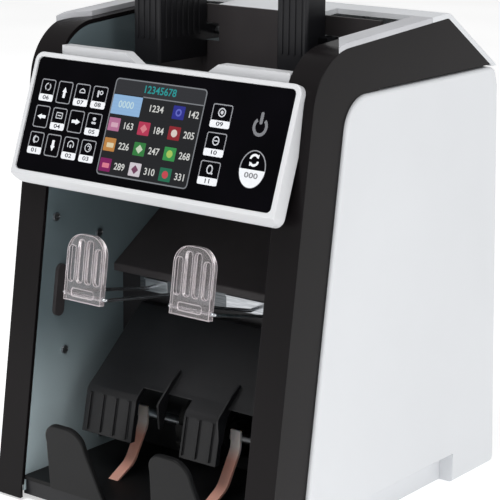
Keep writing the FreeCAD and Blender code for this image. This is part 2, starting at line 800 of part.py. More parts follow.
def stacker_cover():
    """Hood over the stacker wheels, split in the middle below its roof."""
    outer_side = block_profile()
    rear_y = outer_side[0][0]
    shell = outline(outer_side + [(front + 52, hood_face_z, 0), (rear_y, 110, 0)])
    body = slab(shell, -block_half, block_half)
    inside = [(rear_y + 1, 135, 0), (rear_y - 6.5, 135, 1), (front + 63, 90, 4), (front + 53.5, 82, 6),
              (front + 46.5, 40, 0), (front + 60, 40, 0), (rear_y + 1, 105, 0)]
    body = body.cut(slab(outline(inside), -block_half + wall, block_half - wall))
    body = body.cut([box(hood_gap_left, hood_gap_right, front, front + 64, 40, 91),
                     box(hood_right_end, block_half + 1, front, front + 64, 40, 91)])
    face_lean = math.degrees(math.atan2(hood_nose_d - hood_face_d, hood_nose_z - hood_face_z))
    ribs = []
    places_x = [-hood_rib_first - hood_rib_pitch * i for i in range(4)]
    places_x += [hood_gap_right + 2 + hood_rib_pitch * i for i in range(3)]
    for x in places_x:
        rib = box(x - 0.9, x + 0.9, -1.6, 1.0, 2, 31)
        rib.rotate(V(0, 0, 0), X_AXIS, -face_lean)
        rib.translate(V(0, front + hood_face_d, hood_face_z))
        ribs.append(rib)
    for x in (hood_gap_left + 23, hood_right_end - hood_fin_t):
        ribs.append(slab(fin_outline(), x, x + hood_fin_t))
    roof = rod(wheel_r + 4, -block_gap, block_gap, *places["stacker"])
    return joined(body.cut(roof), *ribs)


def stacker_tray():
    """Bottom tray of the stacker pocket with two tongues that lean outwards."""
    base = box(-inner + gap, inner - gap, front + 5, front + bar_d + bar_t / 2 - gap, 16 + gap, 19.5)
    base = base.cut(rod(wheel_r + 3, -60, 60, *places["stacker"]))
    parts = []
    run = tongue_top - 16
    tilt = math.degrees(math.atan2(tongue_reach + 4.5, run))
    for s in (-1, 1):
        low = tongue_w / 2 + tongue_spread
        high = tongue_w / 2
        points = [V(-low, 0, 0), V(-high, 0, run * 0.72), V(-high + 1, 0, run), V(high - 1, 0, run),
                  V(high, 0, run * 0.72), V(low, 0, 0)]
        tongue = Part.Face(Part.makePolygon(points + points[:1])).extrude(V(0, tongue_t, 0))
        tongue = softened(tongue, 14, lambda e: abs(e.BoundBox.YLength - tongue_t) < 1e-6
                          and e.BoundBox.ZMin > run - 1)
        tongue = softened(tongue, 1.2, lambda e: e.BoundBox.ZMax > 5 and e.BoundBox.YLength < 1e-6)
        tongue.rotate(V(0, 0, 0), X_AXIS, tilt)
        tongue.translate(V(s * tongue_mid, front + 3.5, 16.5))
        parts.append(tongue)
    return joined(base, *parts)


def note_strip(side):
    """Tan curved strip that the stacked notes slide down."""
    points = [(front + 74, 70, 0), (front + 74, 56, 16), (front + 58, 30, 18), (front + 39, 20, 0),
              (front + 41, 19.8, 0), (front + 60, 28.5, 16), (front + 75.8, 55, 17), (front + 75.8, 70, 0)]
    return mirrored(slab(outline(points), strip_mid - strip_w / 2, strip_mid + strip_w / 2), side)


def paddle_pivot(side):
    z = paddle_low_z + paddle_skew * side + paddle_pin_z
    return front_at(z) - paddle_reach + paddle_t / 2, z


def paddle(side):
    """Clear stop of the reject pocket: four channels over a solid foot on its pivot wire."""
    y, z = paddle_pivot(side)
    w = paddle_w / 2
    x = paddle_mid
    body = box(-w, w, -paddle_t / 2, paddle_t / 2, -paddle_pin_z, paddle_h - paddle_pin_z)
    body = softened(body, 14, lambda e: abs(e.BoundBox.YLength - paddle_t) < 1e-6 and e.BoundBox.ZMin > 30)
    channel = (paddle_w - 5 * paddle_wall) / 4
    cuts = []
    for i in range(4):
        x0 = -w + paddle_wall + i * (channel + paddle_wall)
        high = paddle_h - 9 if i in (1, 2) else paddle_h - 14
        cuts.append(rounded_plate(x0, x0 + channel, -paddle_t, paddle_t / 2 - paddle_wall, 9, high,
                                  channel / 2 - 0.3))
    cuts.append(rounded_plate(-w + 7, w - 7, -paddle_t, -paddle_t / 2 + 0.6, -1.5, 4.5, 2))
    body = body.cut(cuts)
    body = body.cut(rod(wire_r + running, -w - 1, w + 1, 0, 0))
    body.rotate(V(0, 0, 0), X_AXIS, -paddle_lean)
    body.translate(V(x, y, z))
    return mirrored(body, side)


def paddle_wire(side):
    """Bent wire from the cross bar to the paddle's pivot and back."""
    y, z = paddle_pivot(side)
    y1 = front + bar_d + bar_t / 2 - 0.5
    w = paddle_w / 2 + 3
    x = paddle_mid
    bend = 6.0
    knee_y = front + bar_d - bar_t / 2 - 10
    path = [V(x - wire_half, y1, bar_z), V(x - wire_half, knee_y, bar_z), V(x - w, y, z), V(x + w, y, z),
            V(x + wire_half, knee_y, bar_z), V(x + wire_half, y1, bar_z)]
    edges = []
    start = path[0]
    for i in range(1, len(path) - 1):
        back = path[i - 1] - path[i]
        ahead = path[i + 1] - path[i]
        back.normalize()
        ahead.normalize()
        half_turn = back.getAngle(ahead) / 2
        r = 1.6 * wire_r if i in (2, 3) else bend
        run = r / math.tan(half_turn)
        bisector = back + ahead
        bisector.normalize()
        a = path[i] + back * run
        b = path[i] + ahead * run
        edges.append(Part.makeLine(start, a))
        edges.append(Part.Arc(a, path[i] + bisector * (r / math.sin(half_turn) - r), b).toShape())
        start = b
    edges.append(Part.makeLine(start, path[-1]))
    section = Part.Wire([Part.makeCircle(wire_r, path[0], V(0, 1, 0))])
    return mirrored(Part.Wire(edges).makePipeShell([section], True, False, 2), side)


def wall_screws(side):
    """Screw heads on the pocket side of each side plate."""
    heads = []
    for d, z in screw_spots:
        y = front + d
        slot = box(inner - 2, inner - 1, y - 3, y + 3, z - 0.5, z + 0.5)
        heads.append(rod(3.2, inner - 1.6, inner, y, z).cut(slot))
    return mirrored(Part.makeCompound(heads), side)


def wall_cover(side):
    """Dark slotted cover of the pocket sensor on the side plate."""
    y = front + wall_cover_d
    body = rounded_plate(-5, 5, 0, 3, 0, 40, 4.9)
    body.rotate(V(0, 0, 0), V(0, 0, 1), 90)
    body.rotate(V(0, 0, 0), X_AXIS, -front_rake)
    body.translate(V(inner, y, wall_cover_z))
    return mirrored(body, side)


# ---- electrics ----------------------------------------------------------------------------
def power_supply():
    y1 = rear_at(40) - 34
    z0 = foot_h + tray_t
    top = z0 + supply_h
    body = box(*supply_x, y1 - supply_depth, y1, z0, top)
    starts = [supply_x[0] + 10 + 10 * i for i in range(8)]
    slots = [box(x, x + 5, y1 - supply_depth + 12, y1 - 12, top - 3, top + 6) for x in starts]
    return body.cut(slots)


def main_board():
    """Upright circuit board on two brackets, behind the rear door."""
    y = board_y
    body = box(-92, 92, y, y + 1.6, board_low, board_high)
    chips = [box(-70 + 36 * i, -48 + 36 * i, y + 1.6, y + 4, 196, 218) for i in range(4)]
    caps = [Part.makeCylinder(5, 12, V(-66 + 22 * i, y + 1.6, 148), V(0, 1, 0)) for i in range(6)]
    return joined(body, *(chips + caps))


def board_bracket(side):
    y = board_y
    low = board_low - 4
    high = board_high + 4
    body = joined(box(84, inner, y - 1.5, y, low, high), box(inner - 1.5, inner, y - 14, y, low, high))
    return mirrored(body, side)


# ---- write every piece --------------------------------------------------------------------
def build_all():
    pieces = {
        "top_cover": top_cover(), "base_tray": base_tray(),
        "rear_panel": rear_panel(), "rear_door": rear_door(), "power_inlet": power_inlet(),
        "switch_frame": switch_frame(), "switch_rocker": switch_rocker(), "service_port": service_port(),
        "display_housing": display_housing(), "display_back": display_back(), "panel_glass": panel_glass(),
        "display_screen": display_screen(), "display_board": display_board(), "hopper_apron": hopper_apron(),
        "hopper_floor": hopper_floor(), "hopper_back": hopper_back(), "guide_rod": guide_rod(),
        "pickup_shaft": driven_shaft("pickup", pickup_rollers, roller_r, pickup_roller_w),
        "pickup_tyres": tyres("pickup", pickup_rollers, roller_r, pickup_roller_w),
        "feed_shaft": driven_shaft("feed", wide_rollers, roller_r, wide_roller_w),
        "feed_tyres": tyres("feed", wide_rollers, roller_r, wide_roller_w),
        "upper_shaft": driven_shaft("upper", wide_rollers, roller_r, wide_roller_w),
        "upper_tyres": tyres("upper", wide_rollers, roller_r, wide_roller_w),
        "lower_shaft": driven_shaft("lower", wide_rollers, roller_r, wide_roller_w),
        "lower_tyres": tyres("lower", wide_rollers, roller_r, wide_roller_w),
        "stacker_shaft": stacker_shaft(), "stacker_wheels": stacker_wheels(),
        "main_motor": main_motor(), "motor_pulley": motor_pulley(), "drive_belt": drive_belt(),
        "sensor_upper": sensor_bar(sensor_d, sensor_upper_z, 25),
        "sensor_lower": sensor_bar(sensor_d, sensor_lower_z, 0),
        "diverter_gate": gate(), "reject_ramp": reject_ramp(), "cross_bar": cross_bar(),
        "pocket_back": pocket_back(), "stacker_cover": stacker_cover(), "stacker_tray": stacker_tray(),
        "power_supply": power_supply(), "main_board": main_board()}
    for word, side in (("left", -1), ("right", 1)):
        pieces["side_frame_" + word] = side_frame(side)
        pieces["side_trim_" + word] = side_trim(side)
        pieces["side_cover_" + word] = side_cover(side)
        pieces["top_strip_" + word] = top_strip(side)
        pieces["hopper_guide_" + word] = hopper_guide(side)
        pieces["paddle_" + word] = paddle(side)
        pieces["paddle_wire_" + word] = paddle_wire(side)
    pairs = {"door_hinges": door_hinge, "note_strips": note_strip, "wall_screws": wall_screws,
             "wall_covers": wall_cover, "board_brackets": board_bracket}
    for name, make in pairs.items():
        pieces[name] = Part.makeCompound([make(-1), make(1)])
    pieces["rubber_feet"] = Part.makeCompound([rubber_foot(s, e) for s in (-1, 1) for e in (-1, 1)])
    return pieces


os.makedirs("parts", exist_ok=True)
all_pieces = build_all()
# the origin is the middle of the footprint, from the tongue tips to the rear of the side covers
front_most = all_pieces["stacker_tray"].optimalBoundingBox(False).YMin
rear_most = all_pieces["side_cover_left"].optimalBoundingBox(False).YMax
centring = -(front_most + rear_most) / 2
for piece_name, piece_shape in all_pieces.items():
    save(piece_name, piece_shape, centring)
print("centring", round(centring, 4))
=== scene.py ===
import math

import bmesh
import bpy
from mathutils import Matrix, Vector


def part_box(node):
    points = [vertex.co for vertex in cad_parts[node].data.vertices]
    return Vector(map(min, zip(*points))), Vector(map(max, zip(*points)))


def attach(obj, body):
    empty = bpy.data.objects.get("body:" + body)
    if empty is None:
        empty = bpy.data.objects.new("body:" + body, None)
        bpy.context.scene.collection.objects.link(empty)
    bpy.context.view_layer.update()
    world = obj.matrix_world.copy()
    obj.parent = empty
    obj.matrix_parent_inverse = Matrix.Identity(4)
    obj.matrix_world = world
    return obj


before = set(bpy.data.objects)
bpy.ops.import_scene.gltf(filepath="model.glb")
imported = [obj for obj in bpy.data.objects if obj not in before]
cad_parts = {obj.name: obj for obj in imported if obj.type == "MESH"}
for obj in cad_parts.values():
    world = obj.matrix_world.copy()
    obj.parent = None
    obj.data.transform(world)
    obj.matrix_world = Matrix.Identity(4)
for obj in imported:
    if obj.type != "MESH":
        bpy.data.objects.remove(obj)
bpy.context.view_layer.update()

# Looks for a desktop banknote counting machine. Metres, +Z up, -Y faces the operator.
MM = 0.001
CASE = "case"

# printed panel, in millimetres across and up the tilted glass
PANEL_TILT = math.radians(19.7)
GLASS_T = 1.8
KEY_W, KEY_H, KEY_R = 14.0, 16.6, 1.8
KEY_PITCH_X, KEY_PITCH_Z = 17.05, 19.9
KEY_FIRST_X, KEY_LOW_Z = -104.0, 20.9
SIDE_KEY_X, SIDE_KEY_W, SIDE_KEY_H = 59.6, 17.4, 16.8
SIDE_KEY_ROWS = (60.0, 40.0, 19.9)
LINE = 0.75
PRINT_T = 0.08
RESTART_X, RESTART_Z, RESTART_W, RESTART_H = 95.2, 27.4, 22.0, 26.4
POWER_X, POWER_Z = 94.0, 58.6

# how bright the shown cells are
DISPLAY_GLOW = 0.8

# side plates, in metres: a painted pool of light, pale below and in front of these places, fading to
# painted shade above and behind them
PAINTED_LIGHT_TOP_Z, PAINTED_LIGHT_FULL_Z = 0.15, 0.05
PAINTED_SHADE_DEEP_Y, PAINTED_LIGHT_FRONT_Y = -0.03, -0.1

# folded stops on the cross bar, in millimetres
STOP_SHEET = 1.0
STOP_MARGIN = 0.6
STOP_LEFT_X = (-74.0, -52.0)
STOP_RIGHT_X = (6.0, 56.0)
STOP_LEFT_LIP, STOP_RIGHT_LIP = 3.0, 2.4

# studio, in metres and watts
FLOOR_HALF = 6.0
FLOOR_GLOW = 0.58
ROOM_LIGHT = 0.42
ROOM_SEEN = 1.05
AIM = Vector((0.0, 0.0, 0.2))
LAMPS = (("overhead_softbox", (-0.1, -1.2, 2.2), (1.4, 1.2), 27.0),
         ("front_softbox", (0.3, -2.6, 0.7), (1.2, 0.9), 7.0),
         ("right_softbox", (2.6, -0.2, 1.2), (1.4, 1.6), 19.0))

# view from the front right, level with the top of the display
VIEW_AZIMUTH = math.radians(37.26)
VIEW_HEIGHT = math.radians(14.04)
VIEW_ROLL = math.radians(0.615)
VIEW_TARGET = Vector((0.0200, -0.0230, 0.1940))
VIEW_DISTANCE = 1.418
VIEW_LENS = 136.14
VIEW_SENSOR = 36.0


# ---- small tools --------------------------------------------------------------------------
def linear(code, alpha=1.0):
    """sRGB hex to the linear colour that shaders use."""
    parts = [int(code[i:i + 2], 16) / 255 for i in (1, 3, 5)]
    return tuple(c / 12.92 if c <= 0.04045 else ((c + 0.055) / 1.055) ** 2.4 for c in parts) + (alpha,)


def node(tree, kind, settings=None, inputs=None):
    """Add a shader node; an input is a value or the output socket that feeds it."""
    made = tree.nodes.new(kind)
    for key, value in (settings or {}).items():
        setattr(made, key, value)
    for key, value in (inputs or {}).items():
        if isinstance(value, bpy.types.NodeSocket):
            tree.links.new(value, made.inputs[key])
        else:
            made.inputs[key].default_value = value
    return made


def new_material(name):
    """Empty node material with its output; returns the material, its tree and object coordinates."""
    material = bpy.data.materials.new(name)
    material.use_nodes = True
    tree = material.node_tree
    tree.nodes.clear()
    place = node(tree, "ShaderNodeTexCoord").outputs["Object"]
    return material, tree, place


def finish_material(tree, shader):
    node(tree, "ShaderNodeOutputMaterial", inputs={"Surface": shader.outputs["BSDF"]})


def per(mm):
    """Noise scale for features of this size in millimetres."""
    return 1.0 / (mm * MM)


def two_tone(tree, factor, low, high, at=(0.35, 0.65)):
    ramp = node(tree, "ShaderNodeValToRGB", inputs={"Fac": factor})
    ramp.color_ramp.elements[0].position = at[0]
    ramp.color_ramp.elements[0].color = linear(low)
    ramp.color_ramp.elements[1].position = at[1]
    ramp.color_ramp.elements[1].color = linear(high)
    return ramp.outputs["Color"]


def moulded(name, low, high, rough, grain_mm, bump, cloud_mm=60.0, specular=0.5, coat=0.0, edge_mm=0.5,
            grain_depth_mm=0.02):
    """Injection moulded plastic: faint clouding, spark-eroded grain and slightly rounded edges."""
    material, tree, place = new_material(name)
    cloud = node(tree, "ShaderNodeTexNoise",
                 inputs={"Vector": place, "Scale": per(cloud_mm), "Detail": 3.0})
    grain = node(tree, "ShaderNodeTexNoise",
                 inputs={"Vector": place, "Scale": per(grain_mm), "Detail": 2.0})
    colour = two_tone(tree, cloud.outputs["Fac"], low, high)
    wear = node(tree, "ShaderNodeMapRange", inputs={"Value": cloud.outputs["Fac"], "To Min": rough - 0.04,
                                                    "To Max": rough + 0.05})
    edge = node(tree, "ShaderNodeBevel", {"samples": 4}, {"Radius": edge_mm * MM})
    relief = node(tree, "ShaderNodeBump", inputs={
        "Strength": bump, "Distance": grain_depth_mm * MM, "Height": grain.outputs["Fac"],
        "Normal": edge.outputs["Normal"]})
    shader = node(tree, "ShaderNodeBsdfPrincipled", inputs={
        "Base Color": colour, "Roughness": wear.outputs["Result"], "Normal": relief.outputs["Normal"],
        "Specular IOR Level": specular, "Coat Weight": coat, "Coat Roughness": 0.08})
    finish_material(tree, shader)
    return material


# ---- finishes -----------------------------------------------------------------------------
def white_abs():
    # ABS side covers, spark-eroded tool: cool white, a soft sheen and hardly any grain
    return moulded("white_abs", "#D8DADD", "#DCDEE1", 0.5, 1.6, 0.2, cloud_mm=180.0, specular=0.3)


def white_bezel_abs():
    # ABS bezel, polished tool: a little glossier and warmer than the covers
    return moulded("white_bezel_abs", "#D0D1D4", "#D6D7D9", 0.3, 2.0, 0.1, cloud_mm=120.0,
                   specular=0.45, edge_mm=0.7)


def pale_strip_abs():
    # ABS trim strips, light grey with a satin face
    return moulded("pale_strip_abs", "#BEBFC3", "#C7C8CC", 0.38, 1.6, 0.2)


def black_gloss_abs():
    # ABS cheeks, polished tool: blue-black with a soft mirror sheen along the rounded corner
    return moulded("black_gloss_abs", "#110F10", "#151213", 0.24, 2.4, 0.06, cloud_mm=120.0,
                   specular=0.12, edge_mm=0.8)


def black_satin_abs():
    # ABS guides: black, satin, lighter along the moulded edges
    return moulded("black_satin_abs", "#18181B", "#1C1C1F", 0.33, 1.4, 0.2, specular=0.3)


def black_pocket_abs():
    # ABS inside the pockets: near black, matt, takes little light
    return moulded("black_pocket_abs", "#383536", "#403D3E", 0.42, 1.4, 0.2, specular=0.2)


def back_steel_painted_shade():
    # Steel back plate given a near-black coat as painted shade for the deep back of the pocket: fine orange
    # peel and a dull sheen
    return moulded("back_steel_painted_shade", "#1C1B1D", "#222123", 0.38, 1.1, 0.4, specular=0.25, edge_mm=0.3)


def hood_abs():
    # ABS hood over the stacker wheels: black, satin, light catches its ribs
    return moulded("hood_abs", "#131315", "#18181A", 0.3, 1.6, 0.2, specular=0.42, edge_mm=0.9)


def charcoal_tongue_abs():
    # ABS stacker tongues: charcoal grey with an even matt face
    return moulded("charcoal_tongue_abs", "#101011", "#141415", 0.46, 1.2, 0.3, specular=0.16)


def coated_side_steel():
    # Rolled steel side plates with a thin grey-blue coat: faint upright lines, a broad dull sheen, and a
    # painted pool of light low at the front that fades to painted shade higher up and deeper in
    material, tree, place = new_material("coated_side_steel")
    stretched = node(tree, "ShaderNodeMapping", inputs={"Vector": place, "Scale": (1.0, 1.0, 0.06)})
    lines = node(tree, "ShaderNodeTexNoise",
                 inputs={"Vector": stretched.outputs["Vector"], "Scale": per(1.2),
                                                     "Detail": 3.0})
    cloud = node(tree, "ShaderNodeTexNoise", inputs={"Vector": place, "Scale": per(70), "Detail": 2.0})
    spot = node(tree, "ShaderNodeSeparateXYZ", inputs={"Vector": place})
    # painted light and shade: the coat is made paler low down and at the front, darker higher up and deeper
    # in
    painted_light_low = node(tree, "ShaderNodeMapRange", {"interpolation_type": "SMOOTHSTEP"}, {
        "Value": spot.outputs["Z"], "From Min": PAINTED_LIGHT_TOP_Z, "From Max": PAINTED_LIGHT_FULL_Z})
    painted_light_front = node(tree, "ShaderNodeMapRange", {"interpolation_type": "SMOOTHSTEP"}, {
        "Value": spot.outputs["Y"], "From Min": PAINTED_SHADE_DEEP_Y, "From Max": PAINTED_LIGHT_FRONT_Y, "To Min": 0.3})
    painted_light_patch = node(tree, "ShaderNodeMath", {"operation": "MULTIPLY"}, {
        0: painted_light_low.outputs["Result"], 1: painted_light_front.outputs["Result"]})
    cloud_and_painted_light = node(tree, "ShaderNodeMath", {"operation": "MULTIPLY_ADD"}, {
        0: cloud.outputs["Fac"], 1: 0.16, 2: painted_light_patch.outputs["Value"]})
    colour = two_tone(tree, cloud_and_painted_light.outputs["Value"], "#66757A", "#C2D3D8", at=(0.04, 1.0))
    relief = node(tree, "ShaderNodeBump", inputs={"Strength": 0.25, "Distance": 0.02 * MM,
                                                  "Height": lines.outputs["Fac"]})
    shader = node(tree, "ShaderNodeBsdfPrincipled", inputs={
        "Base Color": colour, "Metallic": 0.1, "Roughness": 0.42, "Normal": relief.outputs["Normal"]})
    finish_material(tree, shader)
    return material


def metal(name, low, high, rough, stretch, line_mm, bump):
    """Bare or plated metal with drawn or brushed lines along the stretched axis."""
    material, tree, place = new_material(name)
    stretched = node(tree, "ShaderNodeMapping", inputs={"Vector": place, "Scale": stretch})
    lines = node(tree, "ShaderNodeTexNoise", inputs={"Vector": stretched.outputs["Vector"],
                                                     "Scale": per(line_mm), "Detail": 4.0})
    colour = two_tone(tree, lines.outputs["Fac"], low, high)
    spread = node(tree, "ShaderNodeMapRange", inputs={"Value": lines.outputs["Fac"], "To Min": rough - 0.06,
                                                      "To Max": rough + 0.08})
    edge = node(tree, "ShaderNodeBevel", {"samples": 4}, {"Radius": 0.3 * MM})
    relief = node(tree, "ShaderNodeBump", inputs={
        "Strength": bump, "Distance": 0.02 * MM, "Height": lines.outputs["Fac"],
        "Normal": edge.outputs["Normal"]})
    shader = node(tree, "ShaderNodeBsdfPrincipled", inputs={
        "Base Color": colour, "Metallic": 1.0, "Roughness": spread.outputs["Result"],
        "Normal": relief.outputs["Normal"]})
    finish_material(tree, shader)
    return material


def bright_bar_steel():
    # Stainless cross bar, ground along its length: bright with fine lines
    return metal("bright_bar_steel", "#55585B", "#74787B", 0.34, (0.05, 1, 1), 0.8, 0.2)


def stop_steel():
    # Folded zinc sheet stops: bright, with fine lines along the fold
    return metal("stop_steel", "#A4A7AB", "#C9CCCF", 0.3, (0.06, 1, 1), 0.9, 0.2)


def wire_steel():
    # Drawn spring wire: smooth, bright and round
    return metal("wire_steel", "#A9ACB0", "#C6C9CC", 0.22, (0.1, 0.1, 0.1), 1.5, 0.1)


def zinc_steel():
    # Zinc plated shafts and brackets: pale grey, mottled and half dull
    return metal("zinc_steel", "#9A9DA1", "#B6B8BB", 0.36, (0.4, 1, 1), 2.0, 0.2)


def supply_aluminium():
    # Folded aluminium case of the power supply: rolled, satin
    return metal("supply_aluminium", "#A8ABAD", "#BFC2C4", 0.42, (0.1, 1, 1), 1.0, 0.2)


def tyre_rubber():
    # Ground rubber tyres: matt black with a fine ground surface
    return moulded("tyre_rubber", "#121212", "#1A1A1A", 0.72, 0.9, 0.5, specular=0.25, edge_mm=0.3)


def foot_rubber():
    # Moulded rubber feet: matt, slightly dusty
    return moulded("foot_rubber", "#161616", "#202020", 0.8, 1.0, 0.4, specular=0.2, edge_mm=0.4)


def belt_rubber():
    # Toothed belt's smooth back: dull black with cloth ends
    return moulded("belt_rubber", "#141414", "#1D1D1D", 0.7, 0.8, 0.5, specular=0.2, edge_mm=0.2)


def tan_polyurethane():
    # Cast polyurethane strips: flesh pink and satin, light comes a little way through, and the top third
    # is paler
    material, tree, place = new_material("tan_polyurethane")
    cloud = node(tree, "ShaderNodeTexNoise", inputs={"Vector": place, "Scale": per(12), "Detail": 3.0})
    low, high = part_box("note_strips")
    height = node(tree, "ShaderNodeSeparateXYZ", inputs={"Vector": place}).outputs["Z"]
    up = node(tree, "ShaderNodeMapRange", inputs={"Value": height, "From Min": low.z, "From Max": high.z})
    paler_towards_top = node(tree, "ShaderNodeMath", {"operation": "MULTIPLY_ADD"}, {
        0: cloud.outputs["Fac"], 1: 0.12, 2: up.outputs["Result"]})
    colour = two_tone(tree, paler_towards_top.outputs["Value"], "#D39C8C", "#D6CDCA", at=(0.62, 0.82))
    shader = node(tree, "ShaderNodeBsdfPrincipled", inputs={
        "Base Color": colour, "Roughness": 0.4, "Subsurface Weight": 0.2,
        "Subsurface Radius": (0.004, 0.002, 0.001), "Subsurface Scale": 1.0})
    finish_material(tree, shader)
    return material


def clear_acrylic():
    # Clear moulded acrylic stops: see-through faces, and a painted highlight along the edges that glows
    # pinkish white
    material, tree, place = new_material("clear_acrylic")
    flow = node(tree, "ShaderNodeTexNoise", inputs={"Vector": place, "Scale": per(9), "Detail": 1.0})
    rough = node(tree, "ShaderNodeMapRange",
                 inputs={"Value": flow.outputs["Fac"], "To Min": 0.06, "To Max": 0.16})
    edge = node(tree, "ShaderNodeBevel", {"samples": 6}, {"Radius": 1.1 * MM})
    flat = node(tree, "ShaderNodeNewGeometry")
    bend = node(tree, "ShaderNodeVectorMath", {"operation": "DOT_PRODUCT"},
                {0: edge.outputs["Normal"], 1: flat.outputs["Normal"]})
    # painted highlight: where the bevel bends the normal, a pale shader with a faint glow is mixed in
    painted_edge_highlight = node(tree, "ShaderNodeMapRange", inputs={"Value": bend.outputs["Value"], "From Min": 0.995,
                                                    "From Max": 0.8, "To Min": 0.0, "To Max": 0.85})
    clear = node(tree, "ShaderNodeBsdfPrincipled", inputs={
        "Base Color": linear("#F6F0F2"), "Roughness": rough.outputs["Result"], "Transmission Weight": 0.93,
        "IOR": 1.49, "Normal": edge.outputs["Normal"]})
    # the pale, faintly glowing shader of the painted edge highlight
    lit = node(tree, "ShaderNodeBsdfPrincipled", inputs={
        "Base Color": linear("#E6DCE0"), "Roughness": 0.3, "Emission Color": linear("#EADFE3"),
        "Emission Strength": 0.17, "Subsurface Weight": 0.3, "Subsurface Radius": (0.002, 0.002, 0.002)})
    both = node(tree, "ShaderNodeMixShader", inputs={"Fac": painted_edge_highlight.outputs["Result"]})
    tree.links.new(clear.outputs["BSDF"], both.inputs[1])
    tree.links.new(lit.outputs["BSDF"], both.inputs[2])
    node(tree, "ShaderNodeOutputMaterial", inputs={"Surface": both.outputs["Shader"]})
    return material


def panel_glass():
    # Black-backed polycarbonate film over the keys: deep black with a clear, faint reflection
    material, tree, place = new_material("panel_glass_black")
    cloud = node(tree, "ShaderNodeTexNoise", inputs={"Vector": place, "Scale": per(50), "Detail": 2.0})
    colour = two_tone(tree, cloud.outputs["Fac"], "#050507", "#08070B")
    rough = node(tree, "ShaderNodeMapRange",
                 inputs={"Value": cloud.outputs["Fac"], "To Min": 0.1, "To Max": 0.18})
    shader = node(tree, "ShaderNodeBsdfPrincipled", inputs={
        "Base Color": colour, "Roughness": rough.outputs["Result"], "Specular IOR Level": 0.03})
    finish_material(tree, shader)
    return material


def printed_ink(name, code, rough=0.5):
    """Screen-printed ink on the film: even, slightly mottled, barely raised."""
    material, tree, place = new_material(name)
    mottle = node(tree, "ShaderNodeTexNoise", inputs={"Vector": place, "Scale": per(1.5), "Detail": 2.0})
    shade = node(tree, "ShaderNodeHueSaturation", inputs={"Color": linear(code)})
    value = node(tree, "ShaderNodeMapRange",
                 inputs={"Value": mottle.outputs["Fac"], "To Min": 0.9, "To Max": 1.05})
    tree.links.new(value.outputs["Result"], shade.inputs["Value"])
    shader = node(tree, "ShaderNodeBsdfPrincipled", inputs={
        "Base Color": shade.outputs["Color"], "Roughness": rough, "Specular IOR Level": 0.2})
    finish_material(tree, shader)
    return material


def lit_display(name, code):
    """Lit area of a colour display: glows, with a fine grid of cells drawn coarse enough to show."""
    material, tree, place = new_material(name)
    cells = node(tree, "ShaderNodeTexVoronoi",
                 inputs={"Vector": place, "Scale": per(0.8), "Randomness": 0.15})
    shade = node(tree, "ShaderNodeHueSaturation", inputs={"Color": linear(code)})
    value = node(tree, "ShaderNodeMapRange", inputs={"Value": cells.outputs["Distance"], "To Min": 1.04,
                                                     "To Max": 0.86})
    tree.links.new(value.outputs["Result"], shade.inputs["Value"])
    shader = node(tree, "ShaderNodeBsdfPrincipled", inputs={
        "Base Color": linear("#050505"), "Roughness": 0.2, "Specular IOR Level": 0.15,
        "Emission Color": shade.outputs["Color"], "Emission Strength": DISPLAY_GLOW})
    finish_material(tree, shader)
    return material


def circuit_board():
    # Glass-epoxy board with green solder mask over copper tracks
    material, tree, place = new_material("circuit_board")
    tracks = node(tree, "ShaderNodeTexBrick", {"offset": 0.5}, {
        "Vector": place, "Scale": per(40), "Color1": linear("#0E4A2A"), "Color2": linear("#125534"),
        "Mortar": linear("#2E7A4C"), "Mortar Size": 0.02})
    shader = node(tree, "ShaderNodeBsdfPrincipled", inputs={"Base Color": tracks.outputs["Color"],
                                                            "Roughness": 0.35})
    finish_material(tree, shader)
    return material


def motor_enamel():
    # Stoved black enamel on the motor can: smooth with a little orange peel
    return moulded("motor_enamel", "#17181A", "#1E1F22", 0.32, 3.0, 0.4, edge_mm=0.6)


# ---- mesh tools ---------------------------------------------------------------------------
def piece(name, mesh_maker, material, body=CASE, matrix=None):
    """Make a piece from bmesh operators, put its place in its mesh, and ride it on a body."""
    bm = bmesh.new()
    mesh_maker(bm)
    bmesh.ops.remove_doubles(bm, verts=bm.verts, dist=1e-7)
    bmesh.ops.recalc_face_normals(bm, faces=bm.faces)
    if matrix is not None:
        bm.transform(matrix)
    mesh = bpy.data.meshes.new(name)
    bm.to_mesh(mesh)
    bm.free()
    made = bpy.data.objects.new(name, mesh)
    bpy.context.scene.collection.objects.link(made)
    mesh.materials.append(material)
    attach(made, body)
    return made


UPRIGHT = Matrix.Rotation(math.radians(90), 3, "X")


def thicken(bm, faces, depth):
    """Give flat faces a body, from their plane towards -Y."""
    made = bmesh.ops.extrude_face_region(bm, geom=faces)["geom"]
    bmesh.ops.translate(bm, verts=[g for g in made if isinstance(g, bmesh.types.BMVert)],
                        vec=(0, -depth, 0))


def flat_plate(bm, x, z, w, h, r=0.0, depth=PRINT_T, lift=0.0, ring=0.0, turn=0.0):
    """Rounded rectangle in the panel's plane, whole or as an outline of the given width; millimetres."""
    before = set(bm.faces)
    verts = bmesh.ops.create_grid(bm, x_segments=1, y_segments=1, size=0.5)["verts"]
    bmesh.ops.scale(bm, vec=(w, h, 1), verts=verts)
    bmesh.ops.rotate(bm, cent=(0, 0, 0), matrix=UPRIGHT, verts=verts)
    if r > 0:
        bmesh.ops.bevel(bm, geom=verts, offset=r, offset_type="OFFSET", segments=5, profile=0.5,
                        affect="VERTICES", material=-1)
    finish_flat(bm, before, x, z, depth, lift, ring, turn)


def flat_disc(bm, x, z, w, h, depth=PRINT_T, lift=0.0, ring=0.0, segments=48, turn=0.0):
    """Ellipse or, with few segments, an arrow head; whole or as an outline; millimetres."""
    before = set(bm.faces)
    verts = bmesh.ops.create_circle(bm, cap_ends=True, segments=segments, radius=0.5)["verts"]
    bmesh.ops.scale(bm, vec=(w, h, 1), verts=verts)
    bmesh.ops.rotate(bm, cent=(0, 0, 0), matrix=UPRIGHT, verts=verts)
    finish_flat(bm, before, x, z, depth, lift, ring, turn)


